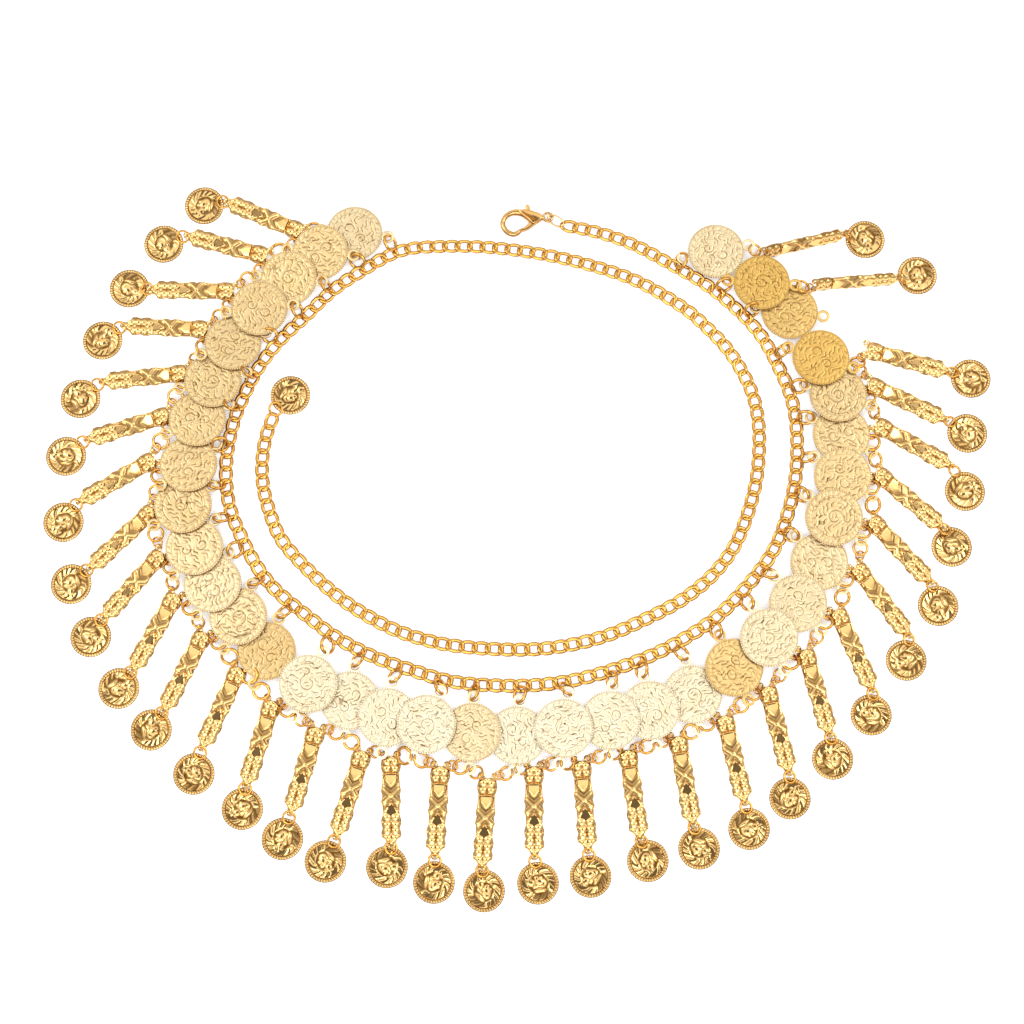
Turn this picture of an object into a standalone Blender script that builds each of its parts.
"""A coin waist chain laid out flat in an open spiral, with its coin fringe fanned out around it.

Metres, +Z up. The chain lies on Z = 0 and the origin is under the middle of its box.
"""

import math
from collections import namedtuple

import bmesh
import bpy
from mathutils import Matrix, Vector

MM = 0.001
TURN = 2 * math.pi

# How the layout's picture sees the table: places below are pixels of a square picture.
PICTURE_MIDDLE = 512
METRES_PER_PIXEL = 0.38 * MM
VIEW_TILT = math.radians(12)
PIXELS_TO_FOCUS = 1911

# Big coins: thin discs with a loop at both ends of one diameter.
BIG_COIN_RADIUS = 10.9 * MM
BIG_COIN_THICK = 0.8 * MM
BIG_COIN_SIDES = 18
EAR_REACH = 13.1 * MM
EAR_RADIUS = 2.7 * MM
EAR_HOLE = 1.75 * MM
EAR_SIDES = 5

# The curb chain, as a band with a bend at each link.
LINK_PITCH = 4.9 * MM
CHAIN_WIDTH = 5.4 * MM
CHAIN_TOP_WIDTH = 4.0 * MM
CHAIN_THICK = 1.6 * MM
STRETCH_GAP = 0.4 * MM

# Coins overlap like roof tiles: each side of a coin is at the low level or the high one.
COIN_BASE = CHAIN_THICK + 0.4 * MM
LEVEL_STEP = 1.78 * MM

# Fringe: bars, small coins, their jump rings, and the rods of the link row.
BAR_LENGTH = 34.8 * MM
SMALL_COIN_RADIUS = 7.6 * MM
SMALL_COIN_THICK = 0.9 * MM
SMALL_COIN_SIDES = 14
DROP_RING_RADIUS = 1.75 * MM
DROP_RING_WIRE = 0.4 * MM
DROP_RING_HEIGHT = 0.75 * MM
DROP_RING_SIDES = 6
DROP_RING_INSET = 0.7 * MM
ROW_WIRE = 0.45 * MM
ROW_HEIGHT = COIN_BASE - 0.85 * MM
ROW_END_GAP = 0.6 * MM
CORNER_LOOP = Vector((1.3, 2.6, 0.53)) * MM

# Lobster clasp, in its own plane: X runs from the middle of its ring to its eye.
CLASP_AXIS_HEIGHT = 1.25 * MM
EYE_PLACE = Vector((12.8, 0, 1.35)) * MM
EYE_RADIUS = 1.75 * MM
EYE_WIRE = 0.45 * MM
CHEEK_THICK = 0.38 * MM
CHEEK_TOP = 2.5 * MM
PIVOT = Vector((7.3, 0.4, 0)) * MM
PIN_RADIUS = 0.32 * MM
PIVOT_HOLE = 0.7 * MM
TRIGGER_THICK = 1.1 * MM
CLASP_RING_WIRE = 0.25 * MM
CLASP_RING_LOW = 0.3 * MM
CLASP_RING_HIGH = 2.45 * MM
CLASP_RING_CORNER = 0.45 * MM
CLASP_RING_IN_EYE = 0.45 * MM
CLASP_RING_IN_CHAIN = 0.8 * MM

Coin = namedtuple("Coin", "x y loop_x loop_y left right")
# Middle and inner loop in pixels, then the level of the side towards the coin before and after.
BIG_COINS = [
    Coin(355.3, 235.5, 388.0, 239.0, 0, 0),
    Coin(321.5, 255.0, 354.5, 258.5, 1, 0),
    Coin(290.0, 281.0, 322.0, 284.0, 1, 0),
    Coin(261.0, 311.5, 294.5, 308.0, 1, 1),
    Coin(234.5, 345.5, 267.0, 333.5, 0, 1),
    Coin(214.5, 382.5, 247.0, 374.0, 0, 1),
    Coin(199.0, 421.0, 229.5, 406.0, 0, 1),
    Coin(190.0, 466.0, 216.5, 446.0, 0, 1),
    Coin(184.5, 507.0, 213.5, 487.0, 0, 1),
    Coin(196.0, 548.5, 217.0, 520.0, 0, 1),
    Coin(214.0, 585.0, 230.0, 553.0, 0, 1),
    Coin(239.5, 617.5, 253.5, 584.5, 0, 1),
    Coin(267.5, 651.5, 280.0, 618.0, 0, 0),
    Coin(309.5, 685.0, 325.5, 650.0, 1, 1),
    Coin(350.5, 701.0, 355.5, 667.0, 0, 0),
    Coin(387.5, 718.0, 393.0, 683.0, 1, 0),
    Coin(427.0, 725.0, 440.5, 692.5, 1, 1),
    Coin(472.0, 733.0, 474.0, 698.0, 0, 1),
    Coin(517.0, 736.0, 520.0, 700.0, 0, 0),
    Coin(563.5, 729.0, 567.5, 695.0, 1, 1),
    Coin(610.0, 721.0, 613.0, 687.0, 0, 1),
    Coin(649.5, 711.0, 644.0, 677.0, 0, 1),
    Coin(692.0, 695.0, 685.0, 661.0, 0, 0),
    Coin(733.0, 668.5, 719.0, 637.0, 1, 0),
    Coin(767.5, 639.0, 752.5, 609.0, 1, 1),
    Coin(796.5, 604.5, 774.0, 579.0, 0, 1),
    Coin(818.0, 563.0, 796.5, 539.5, 0, 0),
    Coin(832.0, 519.5, 806.0, 498.0, 1, 1),
    Coin(841.0, 478.0, 813.5, 460.0, 0, 1),
    Coin(840.0, 436.0, 810.5, 419.0, 0, 0),
    Coin(836.5, 397.0, 805.0, 386.5, 1, 0),
    Coin(819.0, 360.5, 786.0, 350.5, 1, 1),
    Coin(788.5, 313.5, 756.0, 309.0, 0, 0),
    Coin(760.0, 286.0, 726.0, 283.5, 1, 1),
    Coin(715.0, 253.5, 681.5, 260.0, 0, 0),
]

Pendant = namedtuple("Pendant", "top_x top_y end_x end_y coin_x coin_y roll before after")
# Top and end of the bar and middle of the small coin in pixels, the bar's roll about its length in
# degrees, and the bar's corner linked to the coin before and to the coin after: -1 is the corner
# on the side of the coin before, 1 the one on the side of the coin after, 0 means not linked.
PENDANTS = [
    Pendant(306.0, 234.7, 226.4, 202.0, 204.5, 206.0, -6, -1, 1),
    Pendant(271.0, 258.0, 187.0, 236.0, 164.0, 244.4, -6, -1, 1),
    Pendant(234.5, 291.8, 153.0, 290.0, 129.6, 288.8, 0, -1, 1),
    Pendant(208.5, 330.0, 127.0, 326.0, 102.9, 340.8, 0, -1, 1),
    Pendant(190.0, 373.0, 103.0, 382.0, 80.7, 399.0, 0, -1, 1),
    Pendant(173.0, 413.7, 87.5, 439.7, 66.3, 456.5, 0, -1, 1),
    Pendant(156.0, 458.0, 81.3, 501.0, 63.7, 522.4, 0, -1, 1),
    Pendant(154.8, 508.6, 92.0, 566.7, 71.4, 584.3, 0, -1, 1),
    Pendant(162.5, 553.0, 105.8, 615.7, 91.0, 637.0, 0, -1, 1),
    Pendant(177.0, 593.0, 133.8, 668.7, 119.0, 688.5, 0, -1, 1),
    Pendant(205.7, 630.4, 164.4, 710.0, 151.4, 730.0, 0, -1, 1),
    Pendant(240.9, 665.6, 202.7, 746.7, 194.0, 774.0, 0, -1, 1),
    Pendant(274.0, 698.0, 246.0, 785.5, 242.5, 809.0, 0, -1, 1),
    Pendant(318.0, 725.0, 291.0, 812.0, 282.5, 839.0, 0, -1, 1),
    Pendant(363.5, 750.0, 337.0, 834.6, 325.5, 861.5, 0, -1, 1),
    Pendant(390.7, 754.8, 391.5, 844.0, 387.0, 867.0, 0, -1, 1),
    Pendant(440.8, 764.0, 435.0, 855.0, 434.0, 882.5, 0, -1, 1),
    Pendant(488.0, 775.7, 482.0, 867.0, 484.0, 891.0, 0, -1, 1),
    Pendant(533.7, 763.0, 534.5, 856.6, 538.0, 883.3, 0, -1, 1),
    Pendant(581.0, 760.0, 588.0, 848.0, 590.5, 876.5, 0, -1, 1),
    Pendant(626.8, 748.6, 640.0, 837.0, 647.7, 861.0, 0, -1, 1),
    Pendant(676.8, 734.0, 692.9, 823.6, 699.0, 848.5, 0, -1, 1),
    Pendant(723.0, 713.0, 744.6, 802.0, 749.0, 829.0, 0, -1, 1),
    Pendant(766.0, 684.0, 789.0, 772.0, 789.8, 798.5, 0, -1, 1),
    Pendant(803.6, 646.8, 829.5, 734.0, 832.5, 759.0, 0, -1, 1),
    Pendant(836.0, 609.5, 871.0, 687.0, 871.0, 715.0, 0, -1, 1),
    Pendant(854.4, 564.7, 907.5, 634.0, 906.0, 660.5, 0, -1, 1),
    Pendant(869.4, 518.0, 929.0, 581.0, 938.0, 606.0, 0, -1, 1),
    Pendant(874.3, 470.8, 942.0, 527.0, 951.4, 547.0, 0, -1, 1),
    Pendant(872.7, 422.7, 950.6, 465.8, 964.7, 491.5, 0, -1, 1),
    Pendant(866.0, 383.0, 944.0, 419.4, 967.0, 433.5, 0, -1, 1),
    Pendant(866.0, 349.8, 945.6, 371.3, 970.5, 378.8, 0, -1, 0),
    Pendant(814.5, 286.5, 894.5, 280.5, 917.0, 275.8, 70, 0, -1),
    Pendant(763.5, 254.5, 841.0, 236.5, 865.0, 239.8, 70, 0, -1),
]
# The first and last pendant of each fringe node.
FRINGE_GROUPS = [(first, first + 1) for first in range(1, 32, 2)] + [(33, 33), (34, 34)]

BarSection = namedtuple("BarSection", "along half_width bottom top")
# Down the bar from its corner loops, in millimetres. Its two ends stand a little off the table.
BAR_SECTIONS = [
    BarSection(0.0, 3.4, 0.2, 0.95),
    BarSection(2.6, 3.5, 0.15, 0.95),
    BarSection(5.6, 3.8, 0.0, 2.1),
    BarSection(8.2, 3.1, 0.0, 1.5),
    BarSection(12.0, 3.1, 0.0, 1.6),
    BarSection(15.5, 3.9, 0.0, 2.2),
    BarSection(19.8, 3.3, 0.0, 1.7),
    BarSection(25.6, 3.9, 0.0, 2.2),
    BarSection(27.6, 3.2, 0.0, 1.8),
    BarSection(29.6, 3.9, 0.0, 2.1),
    BarSection(31.6, 2.2, 0.12, 1.5),
    BarSection(34.8, 1.2, 0.2, 1.05),
]
BAR_TOP_SHARE = 0.55

# The chain's course in pixels, chosen by hand: out from the clasp, around the coins, then inwards.
OUTER_RIGHT_ROUTE = [
    (563.0, 226.0), (593.6, 232.0), (619.0, 239.6), (643.5, 250.0), (666.6, 262.8), (689.0, 275.0),
    (710.0, 288.0), (731.0, 305.0), (750.6, 323.7), (765.5, 343.0), (777.0, 365.0), (787.5, 388.0),
    (794.5, 413.0), (797.0, 449.0), (793.5, 490.0), (781.0, 534.0), (767.0, 561.0), (742.0, 592.0),
    (714.0, 619.5), (677.0, 643.0), (641.0, 660.0), (589.0, 677.0), (547.0, 684.4),
]
OUTER_LEFT_ROUTE = [
    (506.0, 686.0), (453.0, 682.0), (411.0, 670.0), (375.0, 657.5), (337.0, 638.0), (304.0, 613.6),
    (273.0, 587.6), (253.0, 560.0), (240.5, 534.6), (230.6, 510.0), (226.5, 482.6), (227.5, 453.5),
    (234.4, 421.0), (244.0, 397.0), (256.0, 373.0), (271.0, 351.5), (288.0, 333.0), (306.0, 317.0),
    (323.0, 300.0), (341.0, 285.0), (361.0, 272.5), (382.0, 259.6), (404.0, 250.5),
]
INNER_RIGHT_ROUTE = [
    (430.0, 247.5), (480.0, 247.5), (535.0, 253.7), (587.0, 265.0), (637.0, 281.7), (683.0, 308.0),
    (705.0, 326.5), (726.0, 348.0), (742.0, 372.0), (753.6, 398.0), (758.5, 425.0), (759.0, 450.0),
    (756.0, 482.0), (746.6, 517.0), (733.0, 549.0), (710.0, 578.0), (680.0, 601.5), (640.0, 622.0),
    (603.6, 637.0), (560.0, 647.0),
]
INNER_LEFT_ROUTE = [
    (516.0, 650.0), (457.6, 646.5), (421.0, 639.0), (390.0, 628.0), (355.7, 609.0), (331.7, 591.7),
    (309.0, 571.0), (290.0, 551.0), (279.0, 536.0), (270.0, 513.0), (263.3, 486.7), (262.5, 460.0),
    (266.7, 435.0), (274.0, 416.0),
]
STRETCHES = [
    ("chain_outer_right", OUTER_RIGHT_ROUTE),
    ("chain_outer_left", OUTER_LEFT_ROUTE),
    ("chain_inner_right", INNER_RIGHT_ROUTE),
    ("chain_inner_left", INNER_LEFT_ROUTE),
]
ROUTE_STEPS = 24

END_COIN_PLACE = (290.5, 395.5)
END_COIN_RING_PLACE = (276.2, 409.8)
CLASP_RING_MIDDLE = (515.8, 224.0)
CLASP_EYE_MIDDLE = (547.8, 218.3)

ClawPoint = namedtuple("ClawPoint", "x y radius")
# The claw's wire from its housing around to its tip, in millimetres of the clasp's plane.
CLAW = [
    ClawPoint(3.3, 3.5, 1.15),
    ClawPoint(1.0, 4.3, 1.15),
    ClawPoint(-1.6, 4.2, 1.0),
    ClawPoint(-3.8, 3.0, 0.9),
    ClawPoint(-5.0, 1.0, 0.85),
    ClawPoint(-4.95, -1.3, 0.85),
    ClawPoint(-3.7, -3.4, 0.9),
    ClawPoint(-1.6, -4.5, 0.9),
    ClawPoint(0.0, -4.2, 0.85),
    ClawPoint(0.7, -3.75, 0.8),
]
NECK = [ClawPoint(9.5, 0.5, 1.1), ClawPoint(11.2, 0.0, 0.75)]
# Outline of the two cheeks of the housing, which the trigger turns between.
CHEEK_OUTLINE = [
    (1.6, 4.9), (2.3, 3.2), (4.2, 0.9), (6.1, -1.5), (7.2, -1.8), (10.2, -0.6), (10.3, 1.4),
    (8.0, 2.9), (5.2, 4.3),
]
# Outline of the trigger: the gate that closes the ring, and the thumb spur past the housing.
TRIGGER_OUTLINE = [
    (1.44, -4.17), (3.4, -3.95), (5.3, -3.3), (7.9, -1.9), (8.7, -0.7), (8.7, 1.0), (8.0, 1.8),
    (6.9, 2.2), (6.3, 4.4), (6.0, 6.4), (5.2, 6.4), (5.1, 4.2), (5.6, 1.9), (5.7, 0.2), (5.0, -1.0),
    (3.9, -1.9), (2.3, -2.6), (0.64, -2.91),
]


def on_table(x, y):
    """Where a pixel of the layout's picture falls on the table, before the middle is taken off."""
    right, up = x - PICTURE_MIDDLE, PICTURE_MIDDLE - y
    nearness = 1 - up * math.tan(VIEW_TILT) / PIXELS_TO_FOCUS
    return Vector((right, up / math.cos(VIEW_TILT), 0)) * METRES_PER_PIXEL / nearness


def layout_middle():
    """The middle of the box around the fringe's small coins, which reach furthest every way."""
    places = [on_table(p.coin_x, p.coin_y) for p in PENDANTS]
    low = Vector((min(p.x for p in places), min(p.y for p in places), 0))
    high = Vector((max(p.x for p in places), max(p.y for p in places), 0))
    return (low + high) / 2


MIDDLE = layout_middle()


def place(x, y, height=0.0):
    """A pixel of the layout's picture as a place in the part's own frame."""
    return on_table(x, y) - MIDDLE + Vector((0, 0, height))


def facing(direction):
    """A turn about Z that points X along a direction."""
    return Matrix.Rotation(math.atan2(direction.y, direction.x), 4, "Z")


def new_material(name, colour, roughness):
    """A gold finish for one kind of piece."""
    material = bpy.data.materials.new(name)
    material.use_nodes = True
    shader = material.node_tree.nodes["Principled BSDF"]
    shader.inputs["Base Color"].default_value = (*colour, 1.0)
    shader.inputs["Metallic"].default_value = 1.0
    shader.inputs["Roughness"].default_value = roughness
    return material


def new_object(name, data, matrix=None):
    """An object in the waist chain's collection."""
    item = bpy.data.objects.new(name, data)
    item.matrix_world = matrix or Matrix.Identity(4)
    COLLECTION.objects.link(item)
    return item


def curve_mesh(name, curve):
    """The closed mesh of a curve, with its caps welded on."""
    item = new_object(name, curve)
    graph = bpy.context.evaluated_depsgraph_get()
    mesh = bpy.data.meshes.new_from_object(item.evaluated_get(graph))
    bpy.data.objects.remove(item)
    shape = bmesh.new()
    shape.from_mesh(mesh)
    bmesh.ops.remove_doubles(shape, verts=shape.verts, dist=0.001 * MM)
    bmesh.ops.recalc_face_normals(shape, faces=shape.faces)
    shape.to_mesh(mesh)
    shape.free()
    mesh.name = name
    return mesh


def poly_spline(curve, points, cyclic):
    """A straight-edged spline through 3D points."""
    spline = curve.splines.new("POLY")
    spline.points.add(len(points) - 1)
    for target, point in zip(spline.points, points):
        target.co = (*point, 1.0)
    spline.use_cyclic_u = cyclic
    return spline


def plate_mesh(name, loops, thick):
    """A flat plate from its outline and holes, centred on Z = 0."""
    curve = bpy.data.curves.new(name, "CURVE")
    curve.dimensions = "2D"
    curve.fill_mode = "BOTH"
    curve.extrude = thick / 2
    for loop in loops:
        poly_spline(curve, [(x, y, 0) for x, y in loop], True)
    return curve_mesh(name, curve)


def ring_points(middle_x, radius, sides, start=0.0, sweep=TURN):
    """Points on a circle or arc about (middle_x, 0). An arc has both of its ends."""
    spaces = sides if sweep == TURN else sides - 1
    angles = [start + sweep * i / spaces for i in range(sides)]
    return [(middle_x + radius * math.cos(a), radius * math.sin(a)) for a in angles]


def big_coin_mesh():
    """A disc with a holed loop at each end of its X diameter, as one flat plate."""
    reach, ear, disc = EAR_REACH, EAR_RADIUS, BIG_COIN_RADIUS
    at_disc = math.acos((disc**2 + reach**2 - ear**2) / (2 * disc * reach))
    at_ear = math.pi - math.acos((reach**2 + ear**2 - disc**2) / (2 * ear * reach))
    half_sides = BIG_COIN_SIDES // 2
    step = (math.pi - 2 * at_disc) / half_sides
    outline = []
    for side, turned in ((1, 0.0), (-1, math.pi)):
        outline += ring_points(side * reach, ear, EAR_SIDES, turned - at_ear, 2 * at_ear)
        rim_start = turned + at_disc + step
        rim_sweep = math.pi - 2 * (at_disc + step)
        outline += ring_points(0, disc, half_sides - 1, rim_start, rim_sweep)
    holes = [ring_points(side * reach, EAR_HOLE, EAR_SIDES) for side in (1, -1)]
    return plate_mesh("big_coin", [outline, *holes], BIG_COIN_THICK)


def level_height(level):
    """Height of a coin's underside where its level is 0, 1 or halfway."""
    return COIN_BASE + LEVEL_STEP * level


def coin_frame(number):
    """Where big coin number lies: its middle, tilt across the row and turn towards the chain."""
    coin = BIG_COINS[number - 1]
    before = BIG_COINS[max(number - 2, 0)]
    after = BIG_COINS[min(number, len(BIG_COINS) - 1)]
    row = (place(after.x, after.y) - place(before.x, before.y)).normalized()
    middle_height = level_height((coin.left + coin.right) / 2) + BIG_COIN_THICK / 2
    slope = math.atan((coin.right - coin.left) * LEVEL_STEP / (2 * BIG_COIN_RADIUS))
    across = Vector((-row.y, row.x, 0))
    tilt = Matrix.Rotation(-slope, 4, across)
    inward = place(coin.loop_x, coin.loop_y) - place(coin.x, coin.y)
    return Matrix.Translation(place(coin.x, coin.y, middle_height)) @ tilt @ facing(inward)


def outer_loop(number):
    """The middle of a big coin's outer loop."""
    return coin_frame(number) @ Vector((-EAR_REACH, 0, 0))


def make_big_coins():
    """All big coins, which share one mesh."""
    mesh = big_coin_mesh()
    mesh.materials.append(new_material("pale_gold", (0.93, 0.78, 0.42), 0.3))
    for number in range(1, len(BIG_COINS) + 1):
        new_object(f"big_coin_{number:02d}", mesh, coin_frame(number))


def smooth_route(pixels):
    """Points one link apart along a smooth curve through the given pixels."""
    places = [place(x, y) for x, y in pixels]
    ends = [2 * places[0] - places[1], *places, 2 * places[-1] - places[-2]]
    fine = []
    for a, b, c, d in zip(ends, ends[1:], ends[2:], ends[3:]):
        for i in range(ROUTE_STEPS):
            t = i / ROUTE_STEPS
            bend = (2 * a - 5 * b + 4 * c - d) * t**2 + (3 * b - a - 3 * c + d) * t**3
            fine.append((2 * b + (c - a) * t + bend) / 2)
    fine.append(places[-1])
    lengths = [(q - p).length for p, q in zip(fine, fine[1:])]
    count = round(sum(lengths) / LINK_PITCH)
    spacing = sum(lengths) / count
    points, travelled, target = [fine[0]], 0.0, spacing
    for p, q, length in zip(fine, fine[1:], lengths):
        while target <= travelled + length and len(points) < count:
            points.append(p.lerp(q, (target - travelled) / length))
            target += spacing
        travelled += length
    return [*points, fine[-1]]


def chain_profile():
    """Cross-section of the chain band, flat underneath."""
    curve = bpy.data.curves.new("chain_section", "CURVE")
    half, top = CHAIN_WIDTH / 2, CHAIN_TOP_WIDTH / 2
    corners = [(-half, 0, 0), (half, 0, 0), (top, CHAIN_THICK, 0), (-top, CHAIN_THICK, 0)]
    poly_spline(curve, corners, True)
    return new_object("chain_section", curve)


def band_mesh(name, points, section):
    """A band of the chain's section along a route."""
    curve = bpy.data.curves.new(name, "CURVE")
    curve.dimensions = "3D"
    curve.twist_mode = "Z_UP"
    curve.bevel_mode = "OBJECT"
    curve.bevel_object = section
    curve.use_fill_caps = True
    poly_spline(curve, points, False)
    return curve_mesh(name, curve)


def fused(name, pieces, material):
    """One solid made from pieces that run into each other."""
    base, *others = pieces
    for other in others:
        union = base.modifiers.new(other.name, "BOOLEAN")
        union.operation = "UNION"
        union.solver = "EXACT"
        union.object = other
    graph = bpy.context.evaluated_depsgraph_get()
    mesh = bpy.data.meshes.new_from_object(base.evaluated_get(graph))
    for piece in pieces:
        bpy.data.objects.remove(piece)
    mesh.materials.clear()
    mesh.materials.append(material)
    mesh.name = name
    return new_object(name, mesh)


def set_mesh_place(item, matrix):
    """Moves a new primitive into place through its mesh, so that the object stays unturned."""
    item.data.transform(matrix)
    item.matrix_world = Matrix.Identity(4)
    for holder in item.users_collection:
        holder.objects.unlink(item)
    COLLECTION.objects.link(item)
    return item


def wire_ring(radius, wire, sides, matrix, wire_sides=3):
    """A closed ring of wire."""
    bpy.ops.mesh.primitive_torus_add(
        major_radius=radius, minor_radius=wire, major_segments=sides, minor_segments=wire_sides
    )
    return set_mesh_place(bpy.context.object, matrix)


def rod(start, end, radius, sides=4):
    """A straight wire between two points."""
    along = end - start
    bpy.ops.mesh.primitive_cylinder_add(vertices=sides, radius=radius, depth=along.length)
    turn = along.to_track_quat("Z", "Y").to_matrix().to_4x4()
    return set_mesh_place(bpy.context.object, Matrix.Translation((start + end) / 2) @ turn)


def disc(radius, thick, sides, middle):
    """A flat disc whose corners reach its full radius along X and Y."""
    bpy.ops.mesh.primitive_cylinder_add(vertices=sides, radius=radius, depth=thick)
    return set_mesh_place(bpy.context.object, Matrix.Translation(middle))


def bar_mesh():
    """The embossed bar: cross-sections lofted along its length, flat underneath."""
    shape = bmesh.new()
    rows = []
    for section in BAR_SECTIONS:
        half, top = section.half_width, section.half_width * BAR_TOP_SHARE
        low, high = section.bottom, section.top
        corners = [(-half, low), (half, low), (top, high), (-top, high)]
        rows.append([shape.verts.new(Vector((section.along, y, z)) * MM) for y, z in corners])
    for row, following in zip(rows, rows[1:]):
        for i in range(len(row)):
            k = (i + 1) % len(row)
            shape.faces.new((row[i], row[k], following[k], following[i]))
    shape.faces.new(reversed(rows[0]))
    shape.faces.new(rows[-1])
    bmesh.ops.recalc_face_normals(shape, faces=shape.faces)
    mesh = bpy.data.meshes.new("bar")
    shape.to_mesh(mesh)
    shape.free()
    return mesh


def bar_frame(pendant, mesh):
    """Where a bar lies: middled on its place in the picture, rolled, and set down on Z = 0."""
    top, end = place(pendant.top_x, pendant.top_y), place(pendant.end_x, pendant.end_y)
    along = (end - top).normalized()
    start = (top + end) / 2 - along * BAR_LENGTH / 2
    roll = Matrix.Rotation(math.radians(pendant.roll), 4, "X")
    lowest = min((roll @ vertex.co).z for vertex in mesh.vertices)
    return Matrix.Translation(start - Vector((0, 0, lowest))) @ facing(along) @ roll


def corner_loop(frame, side):
    """The middle of a bar's corner loop, on the side of the coin before (-1) or after (1)."""
    return frame @ Vector((CORNER_LOOP.x, side * CORNER_LOOP.y, CORNER_LOOP.z))


def under_outer_loop(number):
    """The place under a big coin's outer loop where the link row passes."""
    spot = outer_loop(number)
    spot.z = ROW_HEIGHT
    return spot


def bent_wire(name, points, radii, cyclic=False, roundness=0):
    """A wire through points, as thick at each as its radius says."""
    curve = bpy.data.curves.new(name, "CURVE")
    curve.dimensions = "3D"
    curve.bevel_depth = 1.0
    curve.bevel_resolution = roundness
    curve.use_fill_caps = not cyclic
    spline = poly_spline(curve, points, cyclic)
    for point, radius in zip(spline.points, radii):
        point.radius = radius
    return new_object(name, curve_mesh(name, curve))


def row_wire(points):
    """A wire of the link row, square in section."""
    return bent_wire("row_wire", points, [ROW_WIRE] * len(points))


def short_row_wire(frame, side, number):
    """A wire from a bar's corner loop that ends just before a big coin's outer loop."""
    corner = corner_loop(frame, side)
    reach = under_outer_loop(number) - corner
    return row_wire([corner, corner + reach - reach.normalized() * ROW_END_GAP])


def drop_ring(bar_end, coin_middle):
    """The jump ring from a bar's end down to the edge of its small coin."""
    inward = (bar_end - coin_middle).to_2d().to_3d().normalized()
    coin_edge = coin_middle + inward * (SMALL_COIN_RADIUS - DROP_RING_INSET)
    coin_edge.z = DROP_RING_HEIGHT
    along = (coin_edge - bar_end).normalized()
    turn = along.to_track_quat("X", "Z").to_matrix().to_4x4()
    seat = Matrix.Translation(bar_end + along * DROP_RING_RADIUS) @ turn
    return wire_ring(DROP_RING_RADIUS, DROP_RING_WIRE, DROP_RING_SIDES, seat)


def pendant_pieces(pendant, frame, bar):
    """Bar, small coin and drop ring of one pendant, all running into each other."""
    body = new_object("bar", bar.copy())
    body.data.transform(frame)
    middle = place(pendant.coin_x, pendant.coin_y, SMALL_COIN_THICK / 2)
    coin = disc(SMALL_COIN_RADIUS, SMALL_COIN_THICK, SMALL_COIN_SIDES, middle)
    end = frame @ Vector((BAR_LENGTH - DROP_RING_INSET, 0, SMALL_COIN_THICK / 2))
    return [body, coin, drop_ring(end, middle)]


def make_fringe():
    """The fringe in groups: two neighbouring pendants share the link row under one big coin."""
    gold = new_material("warm_gold", (0.83, 0.58, 0.24), 0.25)
    bar = bar_mesh()
    for first, last in FRINGE_GROUPS:
        numbers = range(first, last + 1)
        frames = [bar_frame(PENDANTS[number - 1], bar) for number in numbers]
        pieces = []
        for number, frame in zip(numbers, frames):
            pieces += pendant_pieces(PENDANTS[number - 1], frame, bar)
        if last > first:
            ends = [corner_loop(frames[0], 1), under_outer_loop(last), corner_loop(frames[1], -1)]
            pieces.append(row_wire(ends))
        if PENDANTS[first - 1].before:
            pieces.append(short_row_wire(frames[0], PENDANTS[first - 1].before, first))
        if PENDANTS[last - 1].after:
            pieces.append(short_row_wire(frames[-1], PENDANTS[last - 1].after, last + 1))
        fused("_".join(["fringe", *(f"{number:02d}" for number in numbers)]), pieces, gold)


def clasp_frame():
    """The clasp's plane, its X from the middle of the ring to the eye."""
    ring, eye = place(*CLASP_RING_MIDDLE), place(*CLASP_EYE_MIDDLE)
    return Matrix.Translation(ring) @ facing(eye - ring)


def clasp_ring(frame):
    """The small upright ring from the clasp's eye to the chain's first link."""
    start = frame @ Vector((EYE_PLACE.x + CLASP_RING_IN_EYE, 0, 0))
    chain_start, chain_next = (place(*pixel) for pixel in OUTER_RIGHT_ROUTE[:2])
    end = chain_start + (chain_next - chain_start).normalized() * CLASP_RING_IN_CHAIN
    along = (end - start).normalized()
    low, high, corner = CLASP_RING_LOW, CLASP_RING_HIGH, CLASP_RING_CORNER
    points = []
    for spot, inset, heights in (
        (start, along * corner, (low, low + corner, high - corner, high)),
        (end, -along * corner, (high, high - corner, low + corner, low)),
    ):
        for height in heights:
            inwards = inset if height in (low, high) else Vector()
            points.append(spot + inwards + Vector((0, 0, height)))
    return bent_wire("clasp_ring", points, [CLASP_RING_WIRE] * len(points), cyclic=True)


def make_chain():
    """The chain in four stretches, the first with the clasp's ring through its first link."""
    gold = new_material("orange_gold", (0.88, 0.56, 0.16), 0.22)
    section = chain_profile()
    joined = [pixel for _, route in STRETCHES for pixel in route]
    course = smooth_route(joined)
    splits = [0]
    for _, route in STRETCHES[1:]:
        begin = place(*route[0])
        nearest = min(range(len(course)), key=lambda i: (course[i] - begin).length)
        splits.append(nearest)
    splits.append(len(course) - 1)
    for (name, _), start, stop in zip(STRETCHES, splits, splits[1:]):
        points = course[start : stop + 1]
        if stop != splits[-1]:
            last_step = points[-1] - points[-2]
            points[-1] = points[-1] - last_step.normalized() * STRETCH_GAP
        band = new_object(f"{name}_band", band_mesh(name, points, section))
        pieces = [band, clasp_ring(clasp_frame())] if start == 0 else [band]
        fused(name, pieces, gold)
    bpy.data.objects.remove(section)


def claw_wire(name, frame, claw_points):
    """A round piece of the claw's tapering wire."""
    points = [frame @ Vector((p.x * MM, p.y * MM, CLASP_AXIS_HEIGHT)) for p in claw_points]
    return bent_wire(name, points, [p.radius * MM for p in claw_points], roundness=2)


def in_millimetres(outline):
    """An outline given in millimetres, in metres."""
    return [(x * MM, y * MM) for x, y in outline]


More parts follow.
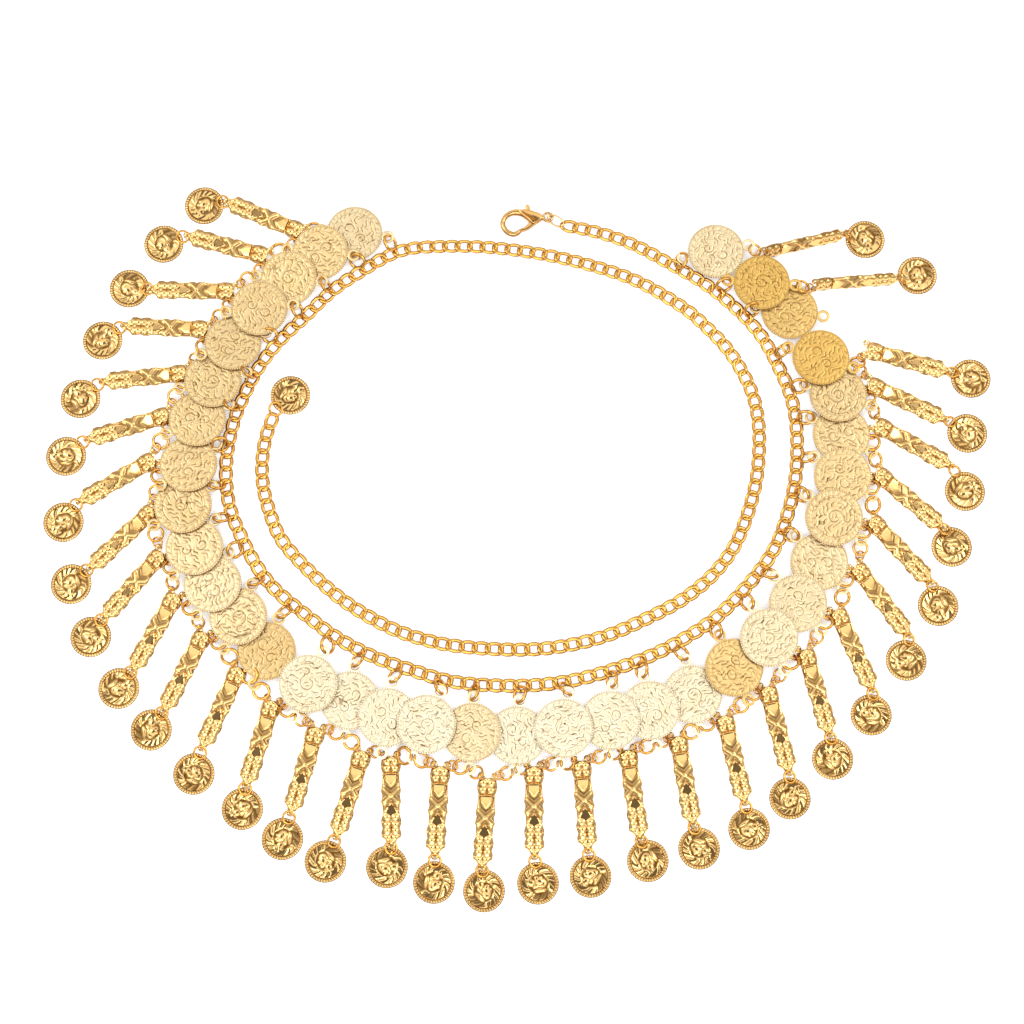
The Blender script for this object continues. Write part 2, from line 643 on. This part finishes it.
def cheek(frame, height):
    """One cheek of the claw's housing."""
    mesh = plate_mesh("cheek", [in_millimetres(CHEEK_OUTLINE)], CHEEK_THICK)
    mesh.transform(frame @ Matrix.Translation((0, 0, height)))
    return new_object("cheek", mesh)


def make_clasp():
    """The lobster claw with its eye, housing and pin, and the trigger that turns on the pin."""
    gold = new_material("clasp_gold", (0.86, 0.62, 0.3), 0.2)
    frame = clasp_frame()
    eye_place = frame @ Matrix.Translation(EYE_PLACE)
    low, high = CHEEK_THICK / 2, CHEEK_TOP - CHEEK_THICK / 2
    pin_foot = frame @ (PIVOT + Vector((0, 0, low)))
    pin_head = frame @ (PIVOT + Vector((0, 0, high)))
    pieces = [
        claw_wire("claw", frame, CLAW),
        cheek(frame, low),
        claw_wire("neck", frame, NECK),
        cheek(frame, high),
        wire_ring(EYE_RADIUS, EYE_WIRE, 10, eye_place, wire_sides=4),
        rod(pin_foot, pin_head, PIN_RADIUS, sides=8),
    ]
    fused("clasp_body", pieces, gold)
    outline = [(x - PIVOT.x, y - PIVOT.y) for x, y in in_millimetres(TRIGGER_OUTLINE)]
    hole = ring_points(0, PIVOT_HOLE, 8)
    mesh = plate_mesh("clasp_trigger", [outline, hole], TRIGGER_THICK)
    mesh.materials.append(gold)
    hinge = PIVOT + Vector((0, 0, CLASP_AXIS_HEIGHT))
    new_object("clasp_trigger", mesh, frame @ Matrix.Translation(hinge))


def make_end_coin():
    """The small coin on its jump ring at the chain's free end."""
    gold = new_material("end_coin_gold", (0.8, 0.6, 0.28), 0.28)
    middle = place(*END_COIN_PLACE, SMALL_COIN_THICK / 2)
    ring_place = Matrix.Translation(place(*END_COIN_RING_PLACE, DROP_RING_HEIGHT))
    ring = wire_ring(DROP_RING_RADIUS, DROP_RING_WIRE, DROP_RING_SIDES, ring_place)
    coin = disc(SMALL_COIN_RADIUS, SMALL_COIN_THICK, SMALL_COIN_SIDES, middle)
    fused("end_coin", [coin, ring], gold)


def main():
    for item in list(bpy.data.objects):
        bpy.data.objects.remove(item, do_unlink=True)
    make_big_coins()
    make_fringe()
    make_chain()
    make_clasp()
    make_end_coin()


COLLECTION = bpy.data.collections.new("coin_waist_chain")
bpy.context.scene.collection.children.link(COLLECTION)
main()
